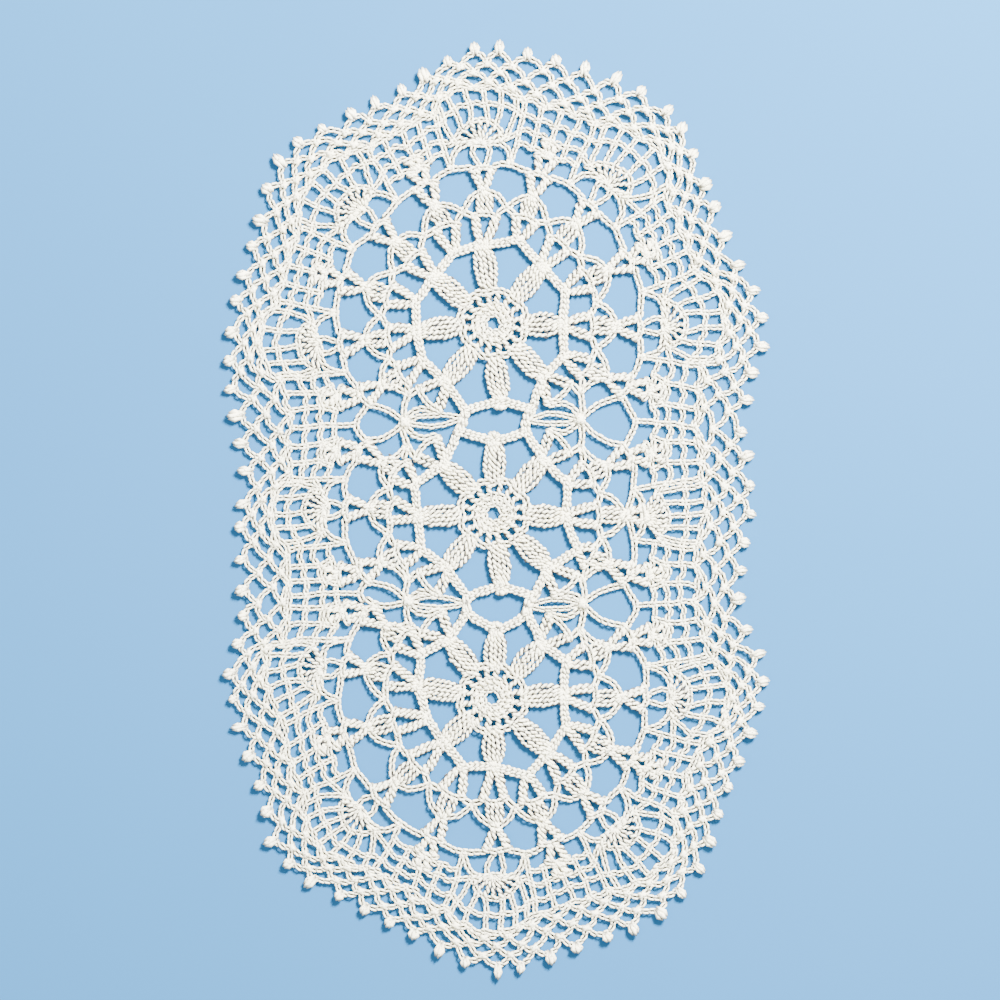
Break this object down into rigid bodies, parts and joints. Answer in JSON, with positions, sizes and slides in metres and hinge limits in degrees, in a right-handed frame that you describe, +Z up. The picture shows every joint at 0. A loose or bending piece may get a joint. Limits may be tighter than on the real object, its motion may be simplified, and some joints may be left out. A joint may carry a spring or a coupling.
{
  "type": "crocheted lace doily",
  "caption": "Long crocheted lace doily with star wheels down its middle, a border of fans and a picot edge.",
  "frame": {"origin": "middle of the doily's bounding box, on its underside", "axes": "+Y along the doily, from the lower wheel to the upper one; +X across it; +Z up through its thickness"},
  "size_m": [0.2194, 0.3748, 0.0035],
  "materials": {
    "cotton": "matt cream crochet cotton"
  },
  "bodies": {
    "root": {"doily": "cotton"}
  },
  "joints": []
}
